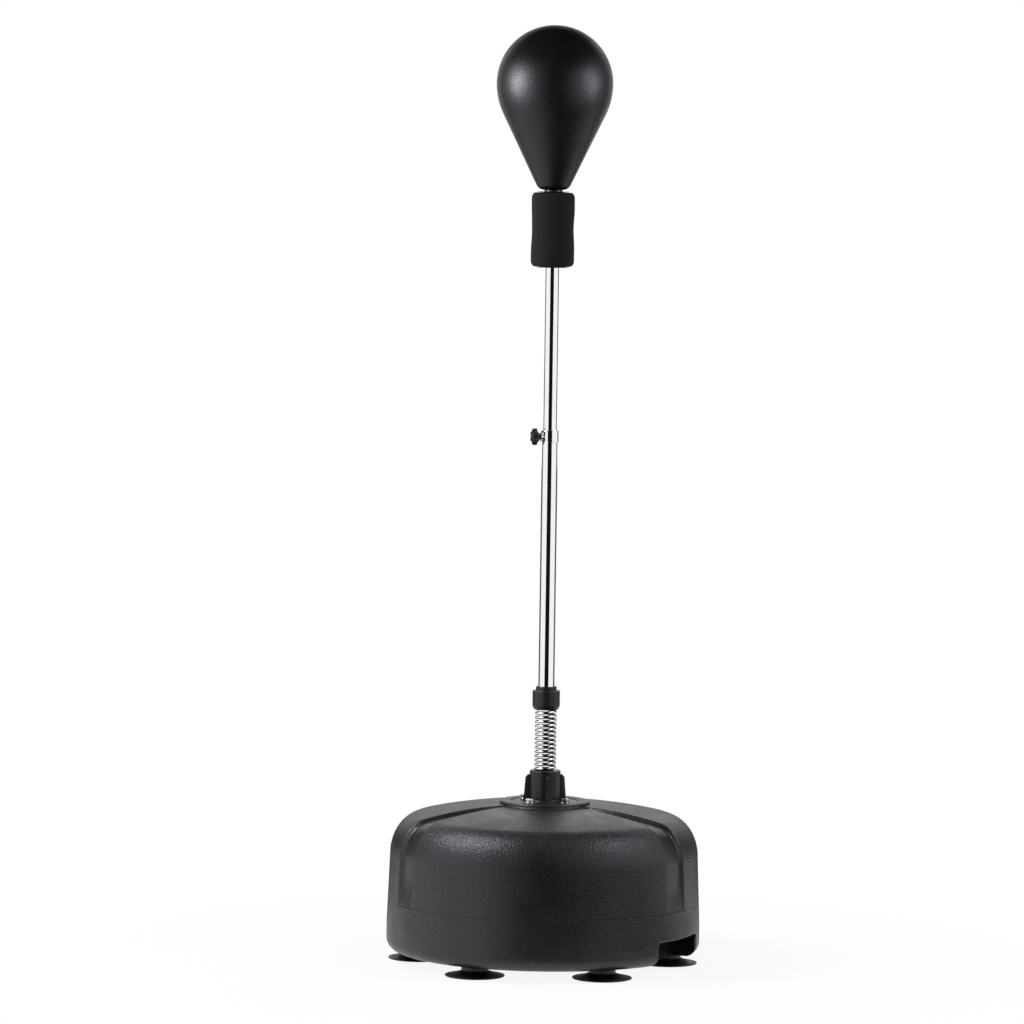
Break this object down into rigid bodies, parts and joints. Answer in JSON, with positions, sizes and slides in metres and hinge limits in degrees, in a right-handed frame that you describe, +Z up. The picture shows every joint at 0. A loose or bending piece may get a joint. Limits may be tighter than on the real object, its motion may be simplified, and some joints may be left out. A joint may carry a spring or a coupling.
{
  "type": "reflex ball stand",
  "caption": "Free-standing reflex ball on a telescopic pole, carried by a coil spring on a round fillable base with suction cups.",
  "frame": {"origin": "on the floor under the pole's axis, at the middle of the base's footprint", "axes": "+Z up along the pole, +X along the channel above the hand notch in the base"},
  "size_m": [0.488, 0.488, 1.4552],
  "materials": {
    "tank": "fine pebble grain",
    "cup_rubber": "smooth",
    "steel": "plain",
    "brass": "plain",
    "chrome": "polished",
    "socket_plastic": "satin",
    "plug_plastic": "satin",
    "cap_plastic": "semi-gloss",
    "knob_plastic": "satin",
    "nylon": "plain",
    "foam": "matte foam",
    "ball_leather": "satin grain"
  },
  "bodies": {
    "base": {"base_top_shell": "tank", "base_bottom_shell": "tank", "suction_cup_1": "cup_rubber", "suction_cup_2": "cup_rubber", "suction_cup_3": "cup_rubber", "suction_cup_4": "cup_rubber", "suction_cup_5": "cup_rubber", "suction_cup_6": "cup_rubber", "cup_studs": "steel", "cup_inserts": "brass", "pole_socket": "socket_plastic", "socket_bolts": "chrome", "socket_washers": "chrome", "socket_inserts": "brass", "spring_seat": "plug_plastic", "seat_screw": "steel", "seat_insert": "brass"},
    "spring": {"spring": "chrome"},
    "lower_pole": {"spring_cap": "cap_plastic", "spring_plug": "plug_plastic", "lower_tube": "chrome", "clamp_ring": "chrome", "clamp_boss": "chrome"},
    "upper_pole": {"upper_tube": "chrome", "tube_glide": "knob_plastic", "foam_grip": "foam", "top_plug": "steel", "ball_stud": "steel", "ball_neck": "cap_plastic", "ball_skin": "ball_leather", "ball_bladder": "cup_rubber", "ball_valve": "cup_rubber"},
    "clamp_shoe": {"clamp_shoe": "nylon"},
    "clamp_knob": {"clamp_screw": "steel", "clamp_knob": "knob_plastic"},
    "filler_seal": {"filler_seal": "cup_rubber"},
    "filler_cap": {"filler_cap": "socket_plastic"}
  },
  "joints": [
    {"name": "sway_side", "type": "hinge", "parent": "base", "child": "spring", "pos_m": [0, 0, 0.3229], "axis": [0, 1, 0], "range_deg": [-35, 35], "stiffness_Nm_per_rad": 115, "deforming": ["spring"]},
    {"name": "sway_front", "type": "hinge", "parent": "spring", "child": "lower_pole", "pos_m": [0, 0, 0.3707], "axis": [1, 0, 0], "range_deg": [-35, 35], "stiffness_Nm_per_rad": 115, "deforming": ["spring"]},
    {"name": "height_slide", "type": "slide", "parent": "lower_pole", "child": "upper_pole", "axis": [0, 0, 1], "range_m": [-0.225, 0.08]},
    {"name": "shoe_slide", "type": "slide", "parent": "lower_pole", "child": "clamp_shoe", "axis": [-0.6428, -0.766, 0], "range_m": [0, 0.00251]},
    {"name": "knob_turn", "type": "hinge", "parent": "clamp_shoe", "child": "clamp_knob", "pos_m": [-0.01735, -0.02068, 0.8191], "axis": [-0.6428, -0.766, 0], "range_deg": [0, 720]},
    {"name": "seal_lift", "type": "slide", "parent": "base", "child": "filler_seal", "axis": [0, 0, 1], "range_m": [0, 0.01201]},
    {"name": "cap_turn", "type": "hinge", "parent": "filler_seal", "child": "filler_cap", "pos_m": [-0.10725, 0.08999, 0.23], "axis": [0, 0, 1], "range_deg": [0, 1440]}
  ],
  "couplings": [
    {"joint": "shoe_slide", "follows": "knob_turn", "m_per_rad": 0.00019894},
    {"joint": "seal_lift", "follows": "cap_turn", "m_per_rad": 0.00047746}
  ]
}
